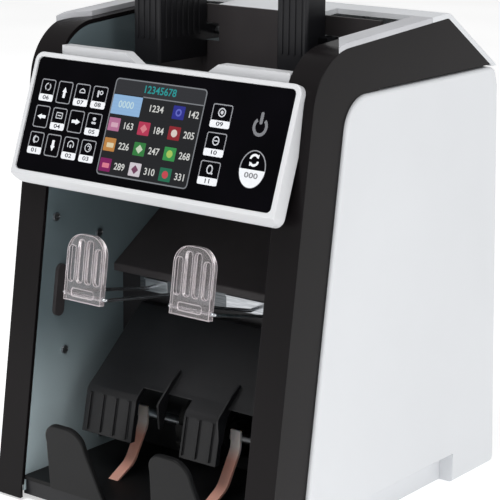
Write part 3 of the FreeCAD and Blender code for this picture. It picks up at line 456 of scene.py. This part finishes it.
def finish_flat(bm, before, x, z, depth, lift, ring, turn):
    """Take the face made since before, cut it to an outline if asked, turn, place and thicken it."""
    faces = [f for f in bm.faces if f not in before]
    if ring > 0:
        middle = set(faces)
        bmesh.ops.inset_region(bm, faces=faces, thickness=ring, use_even_offset=True, use_boundary=True)
        faces = [f for f in bm.faces if f not in before and f not in middle]
        bmesh.ops.delete(bm, geom=list(middle), context="FACES_ONLY")
    verts = list({v for f in faces for v in f.verts})
    bmesh.ops.rotate(bm, cent=(0, 0, 0), matrix=Matrix.Rotation(turn, 3, "Y"), verts=verts)
    bmesh.ops.translate(bm, vec=(x, -lift, z), verts=verts)
    thicken(bm, faces, depth)


def flat_arc(bm, x, z, r, width, start, sweep, depth=PRINT_T, lift=0.0, squeeze=1.0, steps=24):
    """Part of a ring in the panel's plane, spun about its centre; angles in degrees from the top."""
    low = bm.verts.new((0, 0, r - width / 2))
    high = bm.verts.new((0, 0, r + width / 2))
    edge = bm.edges.new((low, high))
    bmesh.ops.rotate(bm, cent=(0, 0, 0), matrix=Matrix.Rotation(math.radians(start), 3, "Y"),
                     verts=[low, high])
    before = set(bm.faces)
    bmesh.ops.spin(bm, geom=[low, high, edge], cent=(0, 0, 0), axis=(0, 1, 0), angle=math.radians(sweep),
                   steps=steps, use_merge=False)
    faces = [f for f in bm.faces if f not in before]
    verts = list({v for f in faces for v in f.verts})
    bmesh.ops.scale(bm, vec=(squeeze, 1, 1), verts=verts)
    bmesh.ops.translate(bm, vec=(x, -lift, z), verts=verts)
    thicken(bm, faces, depth)


def numerals(bm, text, x, z, size, depth=PRINT_T, lift=0.0, squeeze=1.0):
    """Plain numerals as a mesh, centred on a place in the panel's plane; millimetres."""
    curve = bpy.data.curves.new("numerals", "FONT")
    curve.body = text
    curve.size = size
    curve.extrude = depth / 2
    curve.offset = size * 0.012
    curve.resolution_u = 3
    curve.align_x = "CENTER"
    curve.align_y = "CENTER"
    holder = bpy.data.objects.new("numerals", curve)
    mesh = bpy.data.meshes.new_from_object(holder)
    before = set(bm.verts)
    bm.from_mesh(mesh)
    verts = [v for v in bm.verts if v not in before]
    bmesh.ops.scale(bm, vec=(squeeze, 1, 1), verts=verts)
    bmesh.ops.rotate(bm, cent=(0, 0, 0), matrix=UPRIGHT, verts=verts)
    bmesh.ops.translate(bm, vec=(x, -lift - depth / 2, z), verts=verts)
    bpy.data.objects.remove(holder)
    bpy.data.curves.remove(curve)
    bpy.data.meshes.remove(mesh)


# ---- places from the frame ----------------------------------------------------------------
glass_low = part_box("panel_glass")[0]
panel_corner = Vector((0, glass_low.y, glass_low.z + GLASS_T * MM * math.sin(PANEL_TILT)))
ON_PANEL = Matrix.Translation(panel_corner) @ Matrix.Rotation(-PANEL_TILT, 4, "X") @ Matrix.Scale(MM, 4)


def panel_piece(name, maker, material):
    return piece(name, maker, material, matrix=ON_PANEL)


# ---- keys and symbols printed on the panel ------------------------------------------------
ARROWS = {(1, 2): 0, (0, 1): -90, (2, 1): 90, (1, 0): 180}   # column, row from the bottom: turn from up
LABEL_H = 5.2


def key_places():
    for row in range(3):
        for column in range(4):
            yield (column, row), KEY_FIRST_X + KEY_PITCH_X * column, KEY_LOW_Z + KEY_PITCH_Z * row


def key_outlines(bm):
    for _, x, z in key_places():
        flat_plate(bm, x, z, KEY_W, KEY_H, KEY_R, ring=LINE)
    for z in SIDE_KEY_ROWS:
        flat_plate(bm, SIDE_KEY_X, z, SIDE_KEY_W, SIDE_KEY_H, KEY_R, ring=LINE)


def key_labels(bm):
    for spot, x, z in key_places():
        if spot not in ARROWS:
            flat_plate(bm, x, z - (KEY_H - LABEL_H) / 2 + 0.1, KEY_W - 0.3, LABEL_H, 1.2, lift=0.02)
    for z in SIDE_KEY_ROWS:
        flat_plate(bm, SIDE_KEY_X, z - (SIDE_KEY_H - LABEL_H) / 2 + 0.1, SIDE_KEY_W - 0.3, LABEL_H, 1.2,
                   lift=0.02)


def key_numerals(bm):
    count = 0
    for spot, x, z in key_places():
        if spot not in ARROWS:
            count += 1
            numerals(bm, "%02d" % count, x, z - (KEY_H - LABEL_H) / 2 + 0.1, 4.2, lift=0.1, squeeze=1.5)
    for z in SIDE_KEY_ROWS:
        count += 1
        numerals(bm, "%02d" % count, SIDE_KEY_X, z - (SIDE_KEY_H - LABEL_H) / 2 + 0.1, 4.2, lift=0.1,
                 squeeze=1.5)


def arrow(bm, x, z, turn, size=1.0):
    """Stout arrow made of a head and a stem."""
    angle = math.radians(turn)
    along = Vector((math.sin(angle), math.cos(angle)))
    flat_disc(bm, x + along.x * 1.5 * size, z + along.y * 1.5 * size, 5.0 * size, 5.2 * size, segments=3,
              turn=angle)
    flat_plate(bm, x - along.x * 1.7 * size, z - along.y * 1.7 * size, 2.3 * size, 4.6 * size, 0.3,
               lift=0.005,
               turn=angle)


def key_arrows(bm):
    for spot, x, z in key_places():
        if spot in ARROWS:
            arrow(bm, x, z, ARROWS[spot])


def key_symbols(bm):
    """A different plain symbol over each label."""
    up = 2.6
    shapes = [
        lambda x, z: (flat_arc(bm, x, z, 2.9, 0.9, 200, 140), flat_arc(bm, x, z, 2.0, 0.6, 0, 360)),
        lambda x, z: (flat_arc(bm, x, z, 2.8, 0.8, -130, 260), flat_disc(bm, x, z - 1.0, 1.6, 2.6)),
        lambda x, z: (flat_arc(bm, x, z, 2.9, 0.7, 0, 360), flat_arc(bm, x + 0.4, z, 1.3, 0.7, -60, 230)),
        lambda x, z: (flat_plate(bm, x, z, 6.4, 4.8, 0.8, ring=0.7), flat_plate(bm, x, z, 3.2, 0.8)),
        lambda x, z: (flat_disc(bm, x, z + 1.4, 3.0, 2.6), flat_plate(bm, x, z - 1.6, 4.2, 1.6, 0.6)),
        lambda x, z: (flat_arc(bm, x, z, 2.5, 0.8, 30, 150), flat_arc(bm, x, z, 2.5, 0.8, 210, 150)),
        lambda x, z: (flat_arc(bm, x, z - 0.6, 2.5, 0.8, -90, 180), flat_plate(bm, x, z - 0.8, 5.6, 0.8)),
        lambda x, z: (flat_plate(bm, x - 1.6, z, 1.6, 5.0, 0.4),
                      flat_disc(bm, x + 1.2, z + 1.0, 3.4, 3.2, ring=0.8)),
    ]
    count = 0
    for spot, x, z in key_places():
        if spot not in ARROWS:
            shapes[count](x, z + up)
            count += 1
    for i, z in enumerate(SIDE_KEY_ROWS):
        flat_disc(bm, SIDE_KEY_X, z + up, 6.6 - 0.6 * i, 6.6, ring=0.9)
        flat_disc(bm, SIDE_KEY_X + (0, 0, 2.4)[i], z + up - (0, 0, 2.6)[i], (2.4, 3.6, 1.6)[i],
                  (2.6, 0.9, 1.6)[i],
                  lift=0.01)


def power_symbol(bm):
    flat_arc(bm, POWER_X, POWER_Z - 2.0, 5.6, 2.4, 38, 284, squeeze=0.92)
    flat_plate(bm, POWER_X, POWER_Z + 4.0, 2.5, 8.6, 1.1, lift=0.01)


def restart_outline(bm):
    flat_disc(bm, RESTART_X, RESTART_Z, RESTART_W, RESTART_H, ring=0.85)


def restart_lower(bm):
    """Lower half of the oval, cut straight across just under the middle."""
    made = bmesh.ops.create_circle(bm, cap_ends=True, segments=64, radius=0.5)
    bmesh.ops.scale(bm, vec=(RESTART_W - 0.6, RESTART_H - 0.6, 1), verts=made["verts"])
    geom = bm.verts[:] + bm.edges[:] + bm.faces[:]
    bmesh.ops.bisect_plane(bm, geom=geom, plane_co=(0, -0.4, 0), plane_no=(0, 1, 0), clear_outer=True)
    bmesh.ops.rotate(bm, cent=(0, 0, 0), matrix=UPRIGHT, verts=bm.verts)
    bmesh.ops.translate(bm, vec=(RESTART_X, -0.02, RESTART_Z), verts=bm.verts)
    thicken(bm, bm.faces[:], PRINT_T)


def restart_arrows(bm):
    x, z = RESTART_X, RESTART_Z + 6.2
    for start in (-80, 100):
        flat_arc(bm, x, z, 3.6, 1.7, start, 135, squeeze=0.95)
    for side in (-1, 1):
        flat_disc(bm, x + side * 2.6, z + side * 2.8, 3.4, 3.6, segments=3, lift=0.01, turn=side * 0.6)


def restart_numerals(bm):
    numerals(bm, "000", RESTART_X, RESTART_Z - 4.6, 5.2, lift=0.12, squeeze=1.5)


# ---- what the display shows ---------------------------------------------------------------
screen_low, screen_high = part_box("display_screen")
SCREEN_X = (screen_low.x + screen_high.x) / 2 / MM
SCREEN_W = (screen_high.x - screen_low.x) / MM
SCREEN_H = (screen_high.z - screen_low.z) / MM / math.cos(PANEL_TILT)
SCREEN_LOW = 6.2
TITLE_H = 11.4
CELL_W = SCREEN_W / 3
CELL_H = (SCREEN_H - TITLE_H) / 4
TILES = (("#34389C", "#6F76D6"), ("#C77FA6", "#E9B9CE"), ("#C73F5F", "#EC8C98"), ("#9C2C36", "#EFE2DA"),
         ("#D0914E", "#F2E3BC"), ("#3B8A48", "#DCEBD0"), ("#3FA055", "#B9D96A"), ("#8C2468", "#F08AA0"),
         ("#E6DFE6", "#7C4A66"), ("#2C7A5C", "#D9525C"))


def cell_middle(index):
    row, column = divmod(index, 3)
    return (SCREEN_X - SCREEN_W / 2 + CELL_W * (column + 0.5),
            SCREEN_LOW + SCREEN_H - TITLE_H - CELL_H * (row + 0.5))


def screen_ground(bm):
    flat_plate(bm, SCREEN_X, SCREEN_LOW + SCREEN_H / 2, SCREEN_W, SCREEN_H, 3.0, depth=0.05, lift=-0.08)


def screen_outline(bm):
    flat_plate(bm, SCREEN_X, SCREEN_LOW + SCREEN_H / 2, SCREEN_W + 0.4, SCREEN_H + 0.4, 3.2, depth=0.08,
               ring=0.9)
    flat_plate(bm, SCREEN_X + CELL_W * 0.5, SCREEN_LOW + SCREEN_H - TITLE_H, CELL_W * 2, 0.8, depth=0.08)


def title_bar(bm):
    flat_plate(bm, SCREEN_X, SCREEN_LOW + SCREEN_H - TITLE_H / 2, SCREEN_W - 1.2, TITLE_H - 0.6, 2.2,
               depth=0.05,
               lift=-0.04)


def title_numerals(bm):
    numerals(bm, "12345678", SCREEN_X, SCREEN_LOW + SCREEN_H - TITLE_H / 2 - 0.2, 7.6, lift=0.02)


def chosen_cell(bm):
    x, z = cell_middle(0)
    flat_plate(bm, x + 0.4, z - 0.2, CELL_W - 0.8, CELL_H - 0.6, 0.5, depth=0.05, lift=0.0)


def cell_numerals(bm):
    x, z = cell_middle(1)
    numerals(bm, "1234", x, z, 6.8, lift=0.02, squeeze=1.02)
    for index in range(2, 12):
        x, z = cell_middle(index)
        numerals(bm, "%d" % (100 + index * 21), x + CELL_W * 0.22, z - 0.2, 7.0, lift=0.02, squeeze=0.95)


def chosen_numerals(bm):
    x, z = cell_middle(0)
    numerals(bm, "0000", x, z, 7.2, lift=0.06)


def tile(index, inner):
    """Coloured tile of a cell, or the plain lighter mark on it."""
    def maker(bm):
        x, z = cell_middle(index)
        x -= CELL_W * 0.26
        if not inner:
            flat_plate(bm, x, z, 10.6, 9.6, 0.6, depth=0.05, lift=0.0)
        elif index % 3 == 2:
            flat_disc(bm, x, z, 5.4, 5.4, depth=0.03, lift=0.05, ring=1.2 if index == 2 else 0.0)
        elif index % 3 == 0:
            flat_plate(bm, x + 0.6, z - 0.4, 6.4, 3.4, 0.5, depth=0.03, lift=0.05)
        else:
            flat_plate(bm, x, z, 4.6, 4.6, 0.4, depth=0.03, lift=0.05, turn=math.radians(45))
    return maker


def dress_panel():
    grey_ink = printed_ink("grey_ink", "#8E8F94")
    white_ink = printed_ink("white_ink", "#E6E8EC")
    pale_ink = printed_ink("pale_grey_ink", "#C4C6CB")
    dark_ink = printed_ink("dark_ink", "#3A3C42")
    dim_ink = printed_ink("dim_grey_ink", "#77787C")
    for name, maker, ink in (
            ("key_outlines", key_outlines, grey_ink), ("key_labels", key_labels, white_ink),
            ("key_numerals", key_numerals, dark_ink), ("key_arrows", key_arrows, white_ink),
            ("key_symbols", key_symbols, pale_ink), ("power_symbol", power_symbol, dim_ink),
            ("restart_outline", restart_outline, grey_ink), ("restart_lower", restart_lower, white_ink),
            ("restart_arrows", restart_arrows, white_ink), ("restart_numerals", restart_numerals, dim_ink)):
        panel_piece(name, maker, ink)


def dress_screen():
    lit = (
        ("screen_ground", screen_ground, "#26272A"), ("screen_outline", screen_outline, "#8C8F94"),
        ("title_bar", title_bar, "#37383C"), ("title_numerals", title_numerals, "#2FA6A6"),
        ("chosen_cell", chosen_cell, "#9FC8F2"), ("chosen_numerals", chosen_numerals, "#D6F2FA"),
        ("cell_numerals", cell_numerals, "#E9EAE6"))
    for name, maker, code in lit:
        panel_piece(name, maker, lit_display("lit_" + name, code))
    for number, (ground, mark) in enumerate(TILES):
        index = number + 2
        panel_piece("tile_%02d" % index, tile(index, False), lit_display("lit_tile_%02d" % index, ground))
        panel_piece("tile_mark_%02d" % index, tile(index, True), lit_display("lit_mark_%02d" % index, mark))


# ---- folded steel stops on the cross bar --------------------------------------------------
BAR_LOW, BAR_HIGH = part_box("cross_bar")


def folded_stop(x0, x1, lip):
    """Strip of 1 mm sheet with a folded lip, on the front of the bar; millimetres."""
    def maker(bm):
        front = BAR_LOW.y / MM
        top = BAR_HIGH.z / MM - STOP_MARGIN
        low = BAR_LOW.z / MM + STOP_MARGIN
        skin = front - STOP_SHEET
        under = top - STOP_SHEET
        outline = ((front, low), (skin, low), (skin, under), (front - lip, under), (front - lip, top),
                   (front, top))
        face = bm.faces.new([bm.verts.new((x0, y, z)) for y, z in outline])
        made = bmesh.ops.extrude_face_region(bm, geom=[face])["geom"]
        bmesh.ops.translate(bm, verts=[g for g in made if isinstance(g, bmesh.types.BMVert)],
                            vec=(x1 - x0, 0, 0))
        bmesh.ops.recalc_face_normals(bm, faces=bm.faces)
        bmesh.ops.bevel(bm, geom=bm.edges[:], offset=0.2, offset_type="OFFSET", segments=2, profile=0.5,
                        affect="EDGES", material=-1)
    return maker


def dress_bar():
    shine = stop_steel()
    size = Matrix.Scale(MM, 4)
    piece("bar_stop_left", folded_stop(*STOP_LEFT_X, STOP_LEFT_LIP), shine,
          matrix=size)
    piece("bar_stop_right", folded_stop(*STOP_RIGHT_X, STOP_RIGHT_LIP), shine,
          matrix=size)


# ---- finishes of the CAD pieces -----------------------------------------------------------
def dress_nodes():
    white = white_abs()
    bezel = white_bezel_abs()
    pale = pale_strip_abs()
    gloss = black_gloss_abs()
    satin = black_satin_abs()
    pocket = black_pocket_abs()
    charcoal = charcoal_tongue_abs()
    hood = hood_abs()
    side = coated_side_steel()
    bright = bright_bar_steel()
    wire = wire_steel()
    zinc = zinc_steel()
    tyre = tyre_rubber()
    board = circuit_board()
    acrylic = clear_acrylic()
    finishes = {
        "top_cover": white, "rear_panel": white, "rear_door": white, "display_housing": bezel,
        "display_back": bezel, "hopper_apron": bezel, "hopper_floor": pocket, "hopper_back": pocket,
        "power_inlet": satin, "switch_frame": satin, "switch_rocker": satin, "service_port": zinc,
        "panel_glass": panel_glass(), "display_screen": panel_glass(), "display_board": board,
        "main_board": board, "board_brackets": zinc, "door_hinges": zinc, "guide_rod": zinc,
        "pickup_shaft": zinc, "feed_shaft": zinc, "upper_shaft": zinc, "lower_shaft": zinc,
        "stacker_shaft": zinc, "motor_pulley": zinc, "wall_screws": zinc, "pickup_tyres": tyre,
        "feed_tyres": tyre, "upper_tyres": tyre, "lower_tyres": tyre, "stacker_wheels": tyre,
        "drive_belt": belt_rubber(), "main_motor": motor_enamel(), "power_supply": supply_aluminium(),
        "sensor_upper": pocket, "sensor_lower": pocket, "diverter_gate": pocket, "reject_ramp": pocket,
        "stacker_cover": hood, "wall_covers": pocket, "stacker_tray": charcoal,
        # the back plate's near-black coat is painted shade
        "pocket_back": back_steel_painted_shade(),
        "cross_bar": bright, "note_strips": tan_polyurethane(), "base_tray": satin,
        "rubber_feet": foot_rubber()}
    for word in ("left", "right"):
        finishes["side_cover_" + word] = white
        finishes["side_trim_" + word] = gloss
        finishes["side_frame_" + word] = side
        finishes["top_strip_" + word] = pale
        finishes["hopper_guide_" + word] = satin
        finishes["paddle_" + word] = acrylic
        finishes["paddle_wire_" + word] = wire
    for name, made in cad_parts.items():
        made.data.materials.clear()
        made.data.materials.append(finishes[name])


# ---- studio -------------------------------------------------------------------------------
def light_table():
    # Opal acrylic light table: even white glow from below with a matt face
    material, tree, place = new_material("light_table")
    cloud = node(tree, "ShaderNodeTexNoise", inputs={"Vector": place, "Scale": per(400), "Detail": 1.0})
    colour = two_tone(tree, cloud.outputs["Fac"], "#F1F1F1", "#F5F5F5")
    shader = node(tree, "ShaderNodeBsdfPrincipled", inputs={
        "Base Color": colour, "Roughness": 0.9, "Specular IOR Level": 0.1, "Emission Color": colour,
        "Emission Strength": FLOOR_GLOW})
    finish_material(tree, shader)
    return material


def studio():
    bm = bmesh.new()
    bmesh.ops.create_grid(bm, x_segments=1, y_segments=1, size=FLOOR_HALF)
    mesh = bpy.data.meshes.new("light_table")
    bm.to_mesh(mesh)
    bm.free()
    mesh.materials.append(light_table())
    sweep = bpy.data.objects.new("light_table", mesh)
    bpy.context.scene.collection.objects.link(sweep)
    world = bpy.data.worlds.new("white_room")
    world.use_nodes = True
    tree = world.node_tree
    tree.nodes.clear()
    # the room is seen as white paper, and lights the machine more softly than it looks
    room = node(tree, "ShaderNodeBackground", inputs={"Color": linear("#FFFFFF"), "Strength": ROOM_LIGHT})
    seen = node(tree, "ShaderNodeBackground", inputs={"Color": linear("#FFFFFF"), "Strength": ROOM_SEEN})
    direct = node(tree, "ShaderNodeLightPath").outputs["Is Camera Ray"]
    both = node(tree, "ShaderNodeMixShader", inputs={"Fac": direct})
    tree.links.new(room.outputs["Background"], both.inputs[1])
    tree.links.new(seen.outputs["Background"], both.inputs[2])
    node(tree, "ShaderNodeOutputWorld", inputs={"Surface": both.outputs["Shader"]})
    bpy.context.scene.world = world
    for name, place, size, energy in LAMPS:
        light = bpy.data.lights.new(name, "AREA")
        light.shape = "RECTANGLE"
        light.size, light.size_y = size
        light.energy = energy
        lamp = bpy.data.objects.new(name, light)
        lamp.location = place
        lamp.rotation_euler = (AIM - Vector(place)).to_track_quat("-Z", "Y").to_euler()
        bpy.context.scene.collection.objects.link(lamp)
    bpy.context.scene.view_settings.view_transform = "Standard"


def camera():
    """Eye level with the display's top, from the front right, with a long lens and a slight roll."""
    level = math.cos(VIEW_HEIGHT)
    ahead = Vector((-math.sin(VIEW_AZIMUTH) * level, math.cos(VIEW_AZIMUTH) * level,
                    -math.sin(VIEW_HEIGHT)))
    data = bpy.data.cameras.new("view_camera")
    data.sensor_width = VIEW_SENSOR
    data.lens = VIEW_LENS
    eye = bpy.data.objects.new("view_camera", data)
    turned = ahead.to_track_quat("-Z", "Y").to_matrix() @ Matrix.Rotation(VIEW_ROLL, 3, "Z")
    eye.matrix_world = Matrix.Translation(VIEW_TARGET - ahead * VIEW_DISTANCE) @ turned.to_4x4()
    bpy.context.scene.collection.objects.link(eye)
    bpy.context.scene.camera = eye


dress_nodes()
dress_panel()
dress_screen()
dress_bar()
studio()
camera()
